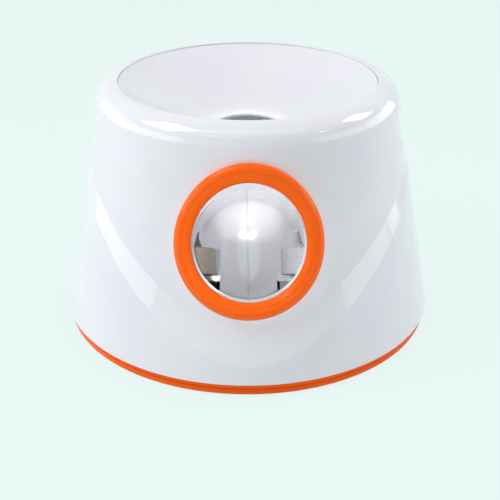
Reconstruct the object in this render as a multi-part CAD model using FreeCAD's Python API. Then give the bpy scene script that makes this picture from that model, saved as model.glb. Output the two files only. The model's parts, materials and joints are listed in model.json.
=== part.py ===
import FreeCAD, Part
import math
import os

# Automatic dog ball launcher, millimetres, +Z up.
# Origin: centre of the footprint on the floor. The launch port faces -Y.
# A ball dropped in the funnel falls down the chute, rolls into the nip of two
# rubber-tyred flywheels and leaves through the port.

V = FreeCAD.Vector
X_AXIS = V(1, 0, 0)
Z_AXIS = V(0, 0, 1)
SIDES = {"left": -1, "right": 1}
FAR = 400.0                 # beyond every piece, for bodies that only cut

# ---------------------------------------------------------------- driving dimensions

# Clearances
slip_gap = 0.3              # between pieces that are set into one another
running_gap = 0.05          # radial, shaft in its bearing
screw_hole_gap = 0.15       # radial, screw in a clearance hole

# Housing: a leaning cone under a rolled rim
base_radius = 150.0
housing_bottom = 11.2
rim_crest_radius = 101.6
rim_crest_height = 194.5
rim_roll_radius = 16.0
housing_wall = 3.0
skirt_step = 6.3            # the bucket above the skirt is this much slimmer at floor level
band_lean_deg = 20.8        # slanted band where the skirt steps back to the bucket
band_front_height = 24.3    # the band's lower edge, at the front and rear
band_side_height = 127.9    # the same edge at the two sides
band_sweep = 1.7            # how the edge climbs between them: sine to this power
grip_below_crest = 21.5     # finger recess under the rim, left and right
grip_length = 48.0
grip_half_width = 50.0
grip_depth = 2.2

# Funnel
funnel_edge_inset = 1.6     # the funnel's edge inside the rim's crest
funnel_edge_drop = 0.7      # and below it
funnel_wall = 2.5
funnel_sag_radius = 63.0    # a point on the bowl, halfway in
funnel_sag_drop = 25.8
feed_hole_radius = 27.0
funnel_depth = 37.8         # edge to feed hole
feed_lip_radius = 1.6
funnel_skirt_depth = 10.0
ledge_width = 6.0
ledge_thickness = 2.5
collar_length = 9.0         # ring under the funnel that centres the chute

# Launch port
launch_angle = 30.0
port_height = 113.9
port_radius = 40.5
ring_width = 12.8
ring_height = 6.5
ring_side = 0.14            # straight part of its sides, as a share of its height
# Arcs of its section, each as its middle and end: shares of its width from the bore, and of its height
ring_inner_roll = ((0.10, 0.62), (0.40, 0.92))
ring_valley = ((0.45, 0.89), (0.50, 0.93))
ring_crown = ((0.66, 1.0), (0.84, 0.82))
ring_step = (0.855, 0.74)   # down from the crown to the lip
ring_lip_middle = (0.96, 0.52)
ring_sink = 2.0             # depth of the sections below the wall's surface, cut off again
ring_sections = 32
ring_peg_radius = 1.5
ring_peg_length = 4.0
collar_depth = 18.6
port_collar_wall = 2.5

# Chute
chute_radius = 39.5
chute_wall = 2.5
chute_lift = 1.2            # chute axis above the port axis
ball_radius = 25.0
ramp_angle = 5.0            # slope down to the flywheels, where the way bends up to the shaft
seam_gap = 0.2
chute_housing_gap = 1.0
chute_top_lap = 2.0         # its top clears the funnel this far inside its bore, where the bend ends
flange_height = 8.0         # seam flanges on the roof and the back
flange_thickness = 3.0
roof_flange_front = 27.0    # from the flywheels' centres, towards the port
roof_flange_rear = 10.8
rear_flange_length = 34.0
rear_flange_gap = 1.0       # below the funnel's collar
seam_screw_inset = 6.0      # from the ends of each flange
leg_size = 10.0
leg_x = 30.0
leg_front_y = -50.0
leg_rear_y = 13.0
base_post_height = 30.0

# Flywheels and motors
wheel_radius = 27.0
wheel_width = 20.0
wheel_gap = 48.6
wheel_depth = 58.0          # from the port along the chute axis
wheel_drop = 10.7           # below the chute axis
tyre_thickness = 8.0
tyre_edge_radius = 1.4
hub_width = 18.0
hub_boss_radius = 5.0
hub_rim = 2.5
hub_web = 4.0
hub_hole_radius = 3.0
hub_hole_count = 5
slot_end_gap = 1.6
slot_below_wheel = 11.3
slot_start_x = 22.0         # the slots cut the chute's wall only beyond this
window_rise = 12.0          # sensor window above the wheel slot
window_length = 40.0
window_cut_depth = 10.0     # either side of the chute's wall
deck_thickness = 2.5
deck_gap = 1.5              # between wheel and motor deck
deck_overhang = 3.0
deck_slot_gap = 8.0
web_thickness = 2.5
web_start_x = 20.0
web_rise = 13.0
motor_radius = 13.85
motor_length = 36.0
motor_can_wall = 1.2
motor_cap_length = 4.5
motor_cap_wall = 2.0
motor_cap_floor = 0.8       # under the shaft's end
motor_tag_length = 4.0
motor_tag_width = 2.4
motor_tag_thickness = 0.8
motor_boss_radius = 5.0
motor_boss_height = 1.2
motor_shaft_radius = 1.585
shaft_end_gap = 0.2
armature_radius = 10.5
armature_end_gap = 3.0
armature_slot_radius = 2.0
armature_slots = 3
motor_screw_circle = 8.5

# Ball sensor
sensor_depth = 5.0
sensor_height = 8.0
sensor_length = 24.0
sensor_above_slot = 0.5
sensor_lens_setback = 5.0   # from the strip's front end
sensor_lens_radius = 1.8
sensor_lens_length = 2.2

# Base
ring_set_in = 2.0           # the ring's band inside the housing's foot
ring_bottom = 1.5
ring_bead = 1.0
ring_groove = 0.6
ring_groove_depth = 0.4
ring_joint_gap = 0.2        # between the ring and the housing's foot
ring_flange_width = 11.0
ring_spigot_set_in = 3.6
ring_spigot_wall = 2.4
ring_spigot_height = 4.0
base_plate_set_in = 9.4     # the plate inside the ring's band
base_plate_bottom = 2.0
base_plate_thickness = 3.0
ring_flange_thickness = 3.0
ring_pad_radius = 4.8       # raised seats on the flange, under the housing's screw posts
foot_radius = 9.0
foot_height = 3.0
foot_edge_radius = 0.8
foot_gap = 0.1
foot_set_in = 16.6          # foot centres inside the plate's edge
foot_row_gap = 3.5          # between the battery tray's inside and the feet
housing_screw_set_in = 5.6  # screw centres inside the plate's edge
housing_screw_count = 6
housing_boss_radius = 4.5
housing_boss_height = 34.0
housing_rib = 2.2
rib_above_spigot = 1.0

# Batteries
cell_radius = 13.1
cell_length = 50.0
cell_edge_radius = 1.0
cell_tip_radius = 3.5
cell_tip_length = 1.5
cells_in_row = 3
cell_rows = 2
cell_clearance = 0.4
contact_space = 6.0
contact_thickness = 0.6
contact_size = 16.0
contact_button_radius = 5.0
spring_wire_radius = 0.5
spring_turns = 3
spring_radius = 7.0         # at the wall
spring_taper = 1.5          # less at each turn
tray_wall = 2.0
tray_rib_half = 0.3         # between the two rows of cells
tray_rib_drop = 5.0
tray_front = 25.0
door_thickness = 2.5
hinge_pin_radius = 0.9
hinge_pin_length = 2.5
hinge_set_back = 2.5        # hinge axis behind the tray's front wall
tongue_half_width = 9.0
tongue_length = 13.0        # beyond the tray, for the door's screw
door_screw_set_back = 7.0
door_screw_engagement = 1.2
door_boss_height = 3.0
tongue_lap = 2.0            # the screw's boss reaches this much further than the tongue
door_screw_play = 0.6       # radial, in the base plate
door_screw_head = 1.2
tray_ear_radius = 5.0
tray_ear_height = 6.0
tray_screw_spacing = 32.0
tray_screw_cover = 1.5      # solid left above the screws' tips

# Control board
board_width = 72.0
board_length = 46.0
board_thickness = 1.6
board_standoff = 6.0
board_hole_inset = 5.0
chip_size = (12.0, 12.0, 1.8)
small_chip_size = (8.0, 6.0, 1.6)
chip_x = -2.0
small_chip_x = 18.0
capacitor_radius = 4.0
capacitor_height = 12.0
capacitor_x = (-26.0, -16.0)
capacitor_y = 11.0
connector_size = (9.0, 6.0, 7.0)
connector_x = (-20.0, -6.0, 8.0, 22.0)
connector_y = -18.0
sink_size = (10.0, 8.0, 14.0)
sink_x = (12.0, 24.0)
sink_y = 13.0
sink_slots = 3
sink_floor = 2.0
beeper_radius = 6.0
beeper_height = 8.0
beeper_hole_radius = 1.2
beeper_x = -24.0
beeper_set_back = 4.0
board_screw_radius = 1.2
board_screw_head_radius = 2.2
board_screw_head_height = 1.3
board_screw_depth = 4.4     # below the board
board_boss_radius = 3.0

# Rear control panel
panel_half_width = 42.0
panel_below_buttons = 14.0  # its edges from the rows of buttons and lamps
panel_above_lamps = 6.5
panel_corner = 6.0
panel_inset = 0.6
panel_flange = 4.0
panel_flange_thickness = 2.0
button_radius = 8.0
button_proud = 2.4
button_dome = 1.0
button_travel = 1.0
button_row_height = 78.0
power_button_x = -22.0
distance_button_x = 0.0
socket_x = 24.0
lamp_rise = 13.5            # above the buttons
lamp_pitch = 7.0
lamp_radius = 1.6
lamp_count = 3
seat_depth = 4.1            # flat seats behind the panel, for the buttons' flanges and the socket
button_flange_width = 1.3
button_flange_thickness = 1.5
stem_radius = 2.0
switch_board_depth = 20.0
switch_board_left = -39.0
switch_board_right = 16.0
switch_board_half_height = 14.0
switch_post_width = 5.0
switch_size = 6.0
switch_screw_length = 6.0
panel_reach = 30.0          # cuts through the panel run this far, in and out
switch_height = 3.5
socket_ring_radius = 5.6
socket_bore_radius = 2.75
socket_bore_depth = 9.0
socket_pin_radius = 1.0
socket_pin_inset = 1.5
socket_length = 14.0
socket_body_half = 6.0

# Screws
screw_radius = 1.5
screw_head_radius = 2.9
screw_head_height = 1.6
screw_length = 12.0         # in its boss
screw_tip_room = 2.0        # hole left beyond a screw's tip
screw_recess_half = 1.7
screw_recess_width = 0.7
screw_recess_depth = 0.8
screw_head_inset = 0.2      # heads lie this deep in the base plate
counterbore_gap = 0.4


# Where the seams of turned faces lie, clear of every cut, and the band's seam beside them
seam_angle = 52.0
band_seam_angle = 55.0

# Sizes that follow from these
grip_top_height = rim_crest_height - grip_below_crest
grip_tip_height = grip_top_height - grip_length
funnel_edge_radius = rim_crest_radius - funnel_edge_inset
funnel_edge_height = rim_crest_height - funnel_edge_drop
funnel_sag_height = funnel_edge_height - funnel_sag_drop
feed_hole_height = funnel_edge_height - funnel_depth
ring_band_radius = base_radius - ring_set_in
ring_spigot_radius = ring_band_radius - ring_bead - ring_spigot_set_in
base_plate_radius = ring_band_radius - base_plate_set_in
housing_screw_circle = base_plate_radius - housing_screw_set_in
ring_flange_inner_radius = base_plate_radius + slip_gap - ring_flange_width
foot_circle = base_plate_radius - foot_set_in
foot_row = tray_front + tray_wall + cell_rows * 2 * (cell_radius + cell_clearance) + foot_row_gap + foot_radius
lamp_height = button_row_height + lamp_rise
panel_low = button_row_height - panel_below_buttons
panel_high = lamp_height + panel_above_lamps


# ---------------------------------------------------------------- small helpers

def line(a, b):
    return Part.LineSegment(a, b).toShape()


def arc(a, mid, b):
    return Part.Arc(a, mid, b).toShape()


def rz(r, z):
    return V(r, 0, z)


def lathe(edges):
    """A solid turned about Z from a closed profile in the XZ plane; its seam lies off the rear."""
    solid = Part.Face(Part.Wire(edges)).revolve(V(0, 0, 0), Z_AXIS, 360)
    solid.rotate(V(0, 0, 0), Z_AXIS, seam_angle)
    return solid


def lathe_points(points):
    """A solid turned about Z from straight runs between (r, z) points."""
    corners = [rz(r, z) for r, z in points]
    return lathe([line(a, b) for a, b in zip(corners, corners[1:] + corners[:1])])


def cylinder(radius, z_low, z_high, x=0.0, y=0.0):
    return Part.makeCylinder(radius, z_high - z_low, V(x, y, z_low))


def annulus(inner, outer, z_low, z_high, x=0.0, y=0.0):
    return cylinder(outer, z_low, z_high, x, y).cut(cylinder(inner, z_low - 1, z_high + 1, x, y))


def box(x_low, x_high, y_low, y_high, z_low, z_high):
    return Part.makeBox(x_high - x_low, y_high - y_low, z_high - z_low, V(x_low, y_low, z_low))


def mirrored(shape):
    return shape.mirror(V(0, 0, 0), X_AXIS)


def on_side(shape, side):
    """Pieces are drawn on the right (+X) and mirrored for the left."""
    return shape if side > 0 else mirrored(shape)


def fuse(shapes):
    shapes = list(shapes)
    return shapes[0].multiFuse(shapes[1:]).removeSplitter() if len(shapes) > 1 else shapes[0]


def group(shapes):
    return Part.makeCompound(list(shapes))


def placed(shape, placement):
    moved = shape.copy()
    moved.Placement = placement.multiply(moved.Placement)
    return moved


def around(count, radius, start=0.0):
    """Points evenly spaced round Z; angle 0 is the front, -Y."""
    for i in range(count):
        angle = math.radians(start + 360.0 * i / count)
        yield radius * math.sin(angle), -radius * math.cos(angle), math.degrees(angle)


def screw(length, z_head=0.0, up=True):
    """A pan-head screw on Z with its head's seat at z_head, pointing up or down."""
    body = cylinder(screw_radius, 0, length).fuse(cylinder(screw_head_radius, -screw_head_height, 0))
    long, narrow = screw_recess_half, screw_recess_width / 2
    floor = -screw_head_height + screw_recess_depth
    cross = fuse([box(-long, long, -narrow, narrow, -screw_head_height - 1, floor),
                  box(-narrow, narrow, -long, long, -screw_head_height - 1, floor)])
    body = body.cut(cross)
    if not up:
        body = body.mirror(V(0, 0, 0), Z_AXIS)
    body.translate(V(0, 0, z_head))
    return body


# ---------------------------------------------------------------- the body's outer form

roll_centre_height = rim_crest_height - rim_roll_radius


def lean_of(bottom_radius):
    """Lean of the side line that runs from the bottom edge tangent to the rim roll."""
    across = bottom_radius - rim_crest_radius
    up = roll_centre_height - housing_bottom
    return math.atan2(across, up) - math.asin(rim_roll_radius / math.hypot(across, up))


skirt_lean = lean_of(base_radius)
bucket_lean = lean_of(base_radius - skirt_step)


def side_radius(lean, z, inset=0.0):
    """Radius of a side line at height z, set in square to the line."""
    reach = rim_roll_radius - inset - (z - roll_centre_height) * math.sin(lean)
    return rim_crest_radius + reach / math.cos(lean)


def cone_form(lean, inset, z_low):
    """Filled form: leaning side, rolled rim, flat across the crest."""
    roll = rim_roll_radius - inset
    tangent = rz(rim_crest_radius + roll * math.cos(lean), roll_centre_height + roll * math.sin(lean))
    half_turn = (math.pi / 2 + lean) / 2
    on_roll = rz(rim_crest_radius + roll * math.cos(half_turn), roll_centre_height + roll * math.sin(half_turn))
    crest = rz(rim_crest_radius, roll_centre_height + roll)
    low_edge = rz(side_radius(lean, z_low, inset), z_low)
    return lathe([line(rz(0, z_low), low_edge), line(low_edge, tangent), arc(tangent, on_roll, crest),
                  line(crest, rz(0, crest.z)), line(rz(0, crest.z), rz(0, z_low))])


def skirt_bound(inset):
    """Leaning solid whose side is the band: low at front and rear, high at the sides."""
    slope = math.tan(math.radians(band_lean_deg))
    inward = inset / math.cos(math.radians(band_lean_deg))
    front = side_radius(skirt_lean, band_front_height) + slope * band_front_height - inward
    rise = side_radius(skirt_lean, band_side_height) + slope * band_side_height - inward - front
    steps = 36
    loops = []
    for z in (-housing_bottom, rim_crest_height):
        points = []
        for i in range(steps):
            angle = math.radians(band_seam_angle + 360.0 * i / steps)
            radius = front + rise * abs(math.cos(angle)) ** band_sweep - slope * z
            points.append(V(radius * math.cos(angle), radius * math.sin(angle), z))
        curve = Part.BSplineCurve()
        curve.interpolate(Points=points, PeriodicFlag=True)
        loops.append(Part.Wire([curve.toShape()]))
    return Part.makeLoft(loops, True, True)


def grip_wedge(side, inset):
    """What a finger recess takes away: deepest at its top, nothing at its tip."""
    deep = side_radius(bucket_lean, grip_top_height, inset) - grip_depth
    shallow = side_radius(bucket_lean, grip_tip_height, inset)
    far = base_radius * 1.5
    skin = lathe_points([(shallow, grip_tip_height), (far, grip_tip_height),
                         (far, grip_top_height), (deep, grip_top_height)])
    corners = [V(0, 0, grip_tip_height), V(0, -grip_half_width, grip_top_height),
               V(0, grip_half_width, grip_top_height)]
    outline = Part.makePolygon(corners + corners[:1])
    prism = Part.Face(outline).extrude(V(side * far, 0, 0))
    return skin.common(prism)


def body_form(inset, z_low):
    form = cone_form(bucket_lean, inset, z_low)
    skirt = cone_form(skirt_lean, inset, z_low).common(skirt_bound(inset))
    form = form.fuse(skirt)
    for side in SIDES.values():
        form = form.cut(grip_wedge(side, inset))
    return form


# ---------------------------------------------------------------- frames of the slanted pieces

port_surface_y = -side_radius(bucket_lean, port_height)
port_frame = FreeCAD.Placement(V(0, port_surface_y, port_height), FreeCAD.Rotation(X_AXIS, 90 - launch_angle))
lift = port_frame.Rotation.multVec(V(0, chute_lift, 0))
chute_frame = FreeCAD.Placement(port_frame.Base + lift, port_frame.Rotation)
# In both frames local x is X, local y is up across the chute, local z is out of the port.

wheel_x = wheel_gap / 2 + wheel_radius
wheel_y = -wheel_drop
wheel_z = -wheel_depth
deck_top = wheel_y - wheel_width / 2 - deck_gap
deck_bottom = deck_top - deck_thickness
slot_reach = wheel_radius + slot_end_gap


def wheel_frame(side):
    """Local z is the wheel's axis, up; the origin is the wheel's centre."""
    centre = chute_frame.multVec(V(side * wheel_x, wheel_y, wheel_z))
    return FreeCAD.Placement(centre, FreeCAD.Rotation(X_AXIS, -launch_angle))


panel_tilt = math.degrees(bucket_lean)


def panel_frame(x, z):
    """Local z points out of the rear face at (x, z); local y runs down it."""
    radius = side_radius(bucket_lean, z)
    return FreeCAD.Placement(V(x, math.sqrt(radius ** 2 - x ** 2), z),
                             FreeCAD.Rotation(X_AXIS, -(90 - panel_tilt)))


# ---------------------------------------------------------------- chute

def turn_depth():
    """How far in the tube turns up, so that a resting ball touches both flywheels."""
    rest_depth = math.sqrt((wheel_radius + ball_radius) ** 2 - wheel_x ** 2) + wheel_depth
    return rest_depth - (chute_radius - ball_radius) * math.sin(math.radians(launch_angle))


def chute_turn():
    return chute_frame.multVec(V(0, 0, -turn_depth()))


def bend_circle():
    """Centre and radius of the line along which the ball's way bends from the flywheels up to the shaft."""
    turn = chute_turn()
    slope = math.radians(ramp_angle)
    radius = -turn.y / (1 - math.sin(slope))
    return V(0, -radius, turn.z + radius * math.cos(slope)), radius


def bend_wall_height(x, y):
    """Height of the bend's wall over a point of the floor."""
    centre, radius = bend_circle()
    reach = radius + math.sqrt(chute_radius ** 2 - x ** 2)
    return centre.z - math.sqrt(reach ** 2 - (y - centre.y) ** 2)


def chute_void(radius):
    """The ball's way: port tube, bend behind the flywheels and drop shaft."""
    reach = 60.0
    turn = chute_turn()
    tube_length = (abs(port_surface_y) - 14.0) / math.cos(math.radians(launch_angle))
    tube = placed(Part.makeCylinder(radius, tube_length + reach, V(0, 0, -tube_length)), chute_frame)
    front_tube = placed(Part.makeCylinder(radius, turn_depth() + reach, V(0, 0, -turn_depth())), chute_frame)
    shaft = Part.makeCylinder(radius, rim_crest_height, V(0, 0, turn.z - radius))
    centre, bend_radius = bend_circle()
    behind = Part.makeBox(4 * radius, FAR, 2 * FAR, V(-2 * radius, 0, -FAR))
    behind.Placement = FreeCAD.Placement(turn, FreeCAD.Rotation(X_AXIS, ramp_angle))
    bend = Part.makeTorus(bend_radius, radius, centre, X_AXIS).common(behind)
    inside = Part.makeCylinder(bend_radius, 4 * radius, V(-2 * radius, centre.y, centre.z), X_AXIS)
    way = tube.fuse(shaft)
    void = way.common(front_tube)
    for bound in (Part.makeSphere(radius, turn), inside, bend):
        void = void.fuse(way.common(bound))
    return void


def funnel_under(radius):
    """Height of the funnel's underside at a radius, from the circle of its bowl."""
    return funnel_bowl_height(radius) - funnel_wall


def circle_through(a, b, c):
    """Centre and radius of the circle through three (r, z) points."""
    ax, ay = a
    bx, by = b
    cx, cy = c
    d = 2 * (ax * (by - cy) + bx * (cy - ay) + cx * (ay - by))
    ux = ((ax ** 2 + ay ** 2) * (by - cy) + (bx ** 2 + by ** 2) * (cy - ay) + (cx ** 2 + cy ** 2) * (ay - by)) / d
    uy = ((ax ** 2 + ay ** 2) * (cx - bx) + (bx ** 2 + by ** 2) * (ax - cx) + (cx ** 2 + cy ** 2) * (bx - ax)) / d
    return ux, uy, math.hypot(ax - ux, ay - uy)


bowl_r, bowl_z, bowl_radius = circle_through(
    (funnel_edge_radius, funnel_edge_height), (funnel_sag_radius, funnel_sag_height),
    (feed_hole_radius + feed_lip_radius, feed_hole_height))


def funnel_bowl_height(radius):
    return bowl_z - math.sqrt(bowl_radius ** 2 - (radius - bowl_r) ** 2)


chute_top = funnel_under(chute_radius - chute_top_lap) - slip_gap
rear_flange_high = chute_top - collar_length - rear_flange_gap
rear_flange_low = rear_flange_high - rear_flange_length


def chute_shell():
    """Both chute halves as one, before the cut down the middle."""
    outer = chute_void(chute_radius + chute_wall)
    front = placed(box(-FAR, FAR, -FAR, FAR, -collar_depth - slip_gap, FAR), port_frame)
    roof = box(-FAR, FAR, -FAR, FAR, chute_top, FAR)
    room = cone_form(bucket_lean, housing_wall + chute_housing_gap, 0.0)
    outer = outer.cut(front).cut(roof).common(room)

    # wheel housings: a motor deck with a web at each end, on both sides
    low_z = wheel_z - slot_reach - web_thickness
    high_z = min(wheel_z + slot_reach + web_thickness, -collar_depth - slip_gap)
    deck_out = wheel_x + motor_radius + deck_overhang
    deck_in = chute_radius - deck_slot_gap
    additions = []
    for side in SIDES.values():
        deck = box(deck_in, deck_out, deck_bottom, deck_top, low_z, high_z)
        web = box(web_start_x, deck_out, deck_bottom, web_rise, low_z, low_z + web_thickness)
        front_web = web.translated(V(0, 0, high_z - low_z - web_thickness))
        for piece in (deck, web, front_web):
            additions.append(placed(on_side(piece, side), chute_frame))
    # seam flanges with the screws that hold the halves together
    half = flange_thickness + seam_gap / 2
    roof_flange = box(-half, half, chute_radius, chute_radius + chute_wall + flange_height,
                      wheel_z - roof_flange_rear, wheel_z + roof_flange_front)
    additions.append(placed(roof_flange, chute_frame))
    back = chute_radius + chute_wall
    additions.append(box(-half, half, 0, back + flange_height, rear_flange_low, rear_flange_high))
    # legs that stand on the base plate's posts
    post_top = base_top + base_post_height
    turn = chute_turn()
    front_top = turn.z - (leg_front_y - turn.y) * math.tan(math.radians(launch_angle))
    rear_top = bend_wall_height(leg_x, leg_rear_y)
    for side in SIDES.values():
        for y, leg_top in ((leg_front_y, front_top), (leg_rear_y, rear_top)):
            leg = box(leg_x - leg_size / 2, leg_x + leg_size / 2, y - leg_size / 2, y + leg_size / 2,
                      post_top, leg_top)
            leg = leg.cut(cylinder(screw_radius, post_top - 1, post_top + screw_length, leg_x, y))
            additions.append(on_side(leg, side))
    shell = outer.multiFuse([piece.common(room) for piece in additions])
    shell = shell.cut(chute_void(chute_radius))

    cuts = []
    for side in SIDES.values():
        cuts += [placed(on_side(wheel_slot(), side), chute_frame), placed(on_side(sensor_window(), side), chute_frame)]
        deck_cut = (-wheel_width, -wheel_width / 2)
        for point in motor_screw_points():
            cuts.append(placed(cylinder(screw_radius + screw_hole_gap, *deck_cut, *point), wheel_frame(side)))
        cuts.append(placed(cylinder(motor_boss_radius + slip_gap, *deck_cut), wheel_frame(side)))
    for centre in seam_screw_places():
        cuts.append(Part.makeCylinder(screw_radius + screw_hole_gap, 2 * flange_height,
                                      centre - V(flange_height, 0, 0), X_AXIS))
    for cut in cuts:
        shell = shell.cut(cut)
    return shell


wheel_slot_top = wheel_y + wheel_width / 2 + deck_gap


def wheel_slot():
    """Opening in the right-hand wall for the flywheel, in the chute's frame; it spares the motor deck."""
    ends = (wheel_z - slot_reach, wheel_z + slot_reach)
    slot = box(slot_start_x, chute_radius + chute_wall + 1, wheel_y - wheel_width / 2 - slot_below_wheel,
               wheel_slot_top, *ends)
    return slot.cut(box(chute_radius - deck_slot_gap, FAR, deck_bottom, deck_top, *ends))


def sensor_window():
    """Half-oval window above the rear part of the wheel slot."""
    oval = Part.makeCylinder(1.0, 2 * window_cut_depth, V(0, 0, 0), X_AXIS)
    stretch = FreeCAD.Matrix()
    stretch.scale(1.0, window_rise, window_length / 2)
    oval = oval.transformGeometry(stretch)
    oval.translate(V(chute_radius - window_cut_depth, wheel_slot_top, wheel_z - slot_reach + window_length / 2))
    return oval.common(box(0, FAR, wheel_slot_top - slip_gap, FAR, -FAR, FAR))


def motor_screw_points():
    """On the wheel's axis frame."""
    return [(0.0, motor_screw_circle), (0.0, -motor_screw_circle)]


def seam_screw_places():
    """Centres of the screws through the seam flanges, all along X."""
    beyond = chute_radius + chute_wall + flange_height / 2
    roof_ends = (wheel_z - roof_flange_rear + seam_screw_inset, wheel_z + roof_flange_front - seam_screw_inset)
    places = [chute_frame.multVec(V(0, beyond, z)) for z in roof_ends]
    rear_ends = (rear_flange_low + seam_screw_inset, rear_flange_high - seam_screw_inset)
    return places + [V(0, beyond, z) for z in rear_ends]


def chute_half(shell, side):
    return shell.common(on_side(box(seam_gap / 2, FAR, -FAR, FAR, -FAR, FAR), side))


def seam_screws():
    screws = []
    for centre in seam_screw_places():
        one = screw(2 * flange_thickness + 2.0)
        one.rotate(V(0, 0, 0), V(0, 1, 0), 90)
        one.translate(centre - V(flange_thickness + seam_gap / 2, 0, 0))
        screws.append(one)
    return screws


def leg_screws():
    length = base_top - screw_seat + base_post_height + screw_length - screw_tip_room
    return screws_from_below(leg_places(), length)


# ---------------------------------------------------------------- flywheels and motors

def flywheel_hub(side):
    outer = wheel_radius - tyre_thickness
    half = hub_width / 2
    rim = annulus(outer - hub_rim, outer, -half, half)
    web = annulus(motor_shaft_radius, outer - hub_rim / 2, -hub_web / 2, hub_web / 2)
    boss = annulus(motor_shaft_radius, hub_boss_radius, -half, half)
    hub = fuse([rim, web, boss])
    ring = (outer - hub_rim + hub_boss_radius) / 2
    for x, y, angle in around(hub_hole_count, ring):
        hub = hub.cut(cylinder(hub_hole_radius, -half, half, x, y))
    return placed(hub, wheel_frame(side))


def flywheel_tyre(side):
    inner = wheel_radius - tyre_thickness
    half = wheel_width / 2
    r = tyre_edge_radius
    k = r * (1 - math.sqrt(0.5))
    o = wheel_radius
    profile = [line(rz(inner, -half), rz(o - r, -half)),
               arc(rz(o - r, -half), rz(o - k, -half + k), rz(o, -half + r)),
               line(rz(o, -half + r), rz(o, half - r)),
               arc(rz(o, half - r), rz(o - k, half - k), rz(o - r, half)),
               line(rz(o - r, half), rz(inner, half)),
               line(rz(inner, half), rz(inner, -half))]
    return placed(lathe(profile), wheel_frame(side))


motor_top = deck_bottom - wheel_y
motor_bottom = motor_top - motor_length
cap_top = motor_bottom + motor_cap_length


def motor_can(side):
    can = cylinder(motor_radius, cap_top, motor_top)
    can = can.fuse(cylinder(motor_boss_radius, motor_top, motor_top + motor_boss_height))
    can = can.cut(cylinder(motor_radius - motor_can_wall, cap_top - 1, motor_top - motor_can_wall))
    can = can.cut(cylinder(motor_shaft_radius + running_gap, cap_top, motor_top + 5))
    for point in motor_screw_points():
        can = can.cut(cylinder(screw_radius, motor_top - 3, motor_top + 1, *point))
    return placed(can, wheel_frame(side))


def motor_end_cap(side):
    cap = cylinder(motor_radius, motor_bottom, cap_top)
    cap = cap.cut(cylinder(motor_radius - motor_cap_wall, motor_bottom + motor_cap_wall, cap_top + 1))
    cap = cap.cut(cylinder(motor_shaft_radius + running_gap, motor_bottom + motor_cap_floor, cap_top + 1))
    wide, thick = motor_tag_width / 2, motor_tag_thickness / 2
    for x in (-motor_screw_circle, motor_screw_circle):
        cap = cap.fuse(box(x - wide, x + wide, -thick, thick, motor_bottom - motor_tag_length, motor_bottom))
    return placed(cap, wheel_frame(side))


def motor_rotor(side):
    """The shaft that carries the flywheel, with the slotted armature inside the can."""
    shaft = cylinder(motor_shaft_radius, motor_bottom + motor_cap_floor + shaft_end_gap, hub_width / 2)
    low, high = cap_top + armature_end_gap, motor_top - motor_can_wall - armature_end_gap
    armature = cylinder(armature_radius, low, high)
    for x, y, angle in around(armature_slots, armature_radius):
        armature = armature.cut(cylinder(armature_slot_radius, low, high, x, y))
    return placed(shaft.fuse(armature), wheel_frame(side))


def motor_screws():
    screws = []
    for side in SIDES.values():
        for x, y in motor_screw_points():
            one = screw(deck_thickness + 2.4, motor_top + deck_thickness, up=False)
            one.translate(V(x, y, 0))
            screws.append(placed(one, wheel_frame(side)))
    return screws


def ball_sensor(side):
    """A strip on the wheel housing's rear web, with a domed lens that looks across the chute."""
    low_z = wheel_z - slot_reach
    low_y = wheel_slot_top + sensor_above_slot
    x_in = chute_radius + chute_wall + slip_gap
    strip = box(x_in, x_in + sensor_depth, low_y, low_y + sensor_height, low_z, low_z + sensor_length)
    tip = V(x_in - sensor_lens_length, low_y + sensor_height / 2, low_z + sensor_length - sensor_lens_setback)
    eye = Part.makeCylinder(sensor_lens_radius, sensor_lens_length, tip, X_AXIS)
    dome = Part.makeSphere(sensor_lens_radius, tip)
    return placed(on_side(fuse([strip, eye, dome]), side), chute_frame)


# ---------------------------------------------------------------- housing, funnel, port ring

def port_cylinder(radius, z_low, z_high):
    return placed(Part.makeCylinder(radius, z_high - z_low, V(0, 0, z_low)), port_frame)


def ring_pegs(radius, depth, height):
    """Pegs on the back of the port ring, or their holes, between two depths of the wall."""
    circle = port_radius + ring_width / 2
    outer = cone_form(bucket_lean, -height, housing_bottom)
    inner = cone_form(bucket_lean, depth, housing_bottom - 1)
    reach = port_radius
    pegs = []
    for x, y, angle in around(4, circle, 45):
        peg = placed(cylinder(radius, -reach, reach, x, y), port_frame)
        pegs.append(peg.common(outer).cut(inner))
    return pegs


def housing_bosses():
    """Screw posts round the foot of the housing, each tied to the wall by a rib."""
    seat = housing_bottom
    pieces = []
    for x, y, angle in around(housing_screw_count, housing_screw_circle):
        boss = cylinder(housing_boss_radius, seat - 2, seat + housing_boss_height, x, y)
        rib = box(-housing_rib / 2, housing_rib / 2, -base_radius, -housing_screw_circle,
                  seat + ring_spigot_height + rib_above_spigot, seat + housing_boss_height)
        rib.rotate(V(0, 0, 0), Z_AXIS, angle)
        piece = boss.fuse(rib)
        pieces.append(piece.cut(cylinder(screw_radius, seat - 3, seat + screw_length, x, y)))
    return pieces


def panel_block(grow, inset_out, inset_in):
    """A piece of the rear wall, between two insets, with rounded corners."""
    skin = cone_form(bucket_lean, inset_out, housing_bottom).cut(cone_form(bucket_lean, inset_in, housing_bottom - 1))
    corner = panel_corner + grow
    window = box(-panel_half_width - grow, panel_half_width + grow, 0, base_radius * 1.2,
                 panel_low - grow, panel_high + grow)
    edges = [e for e in window.Edges if abs(e.tangentAt(e.FirstParameter).y) > 0.9]
    return skin.common(window.makeFillet(corner, edges))


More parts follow.
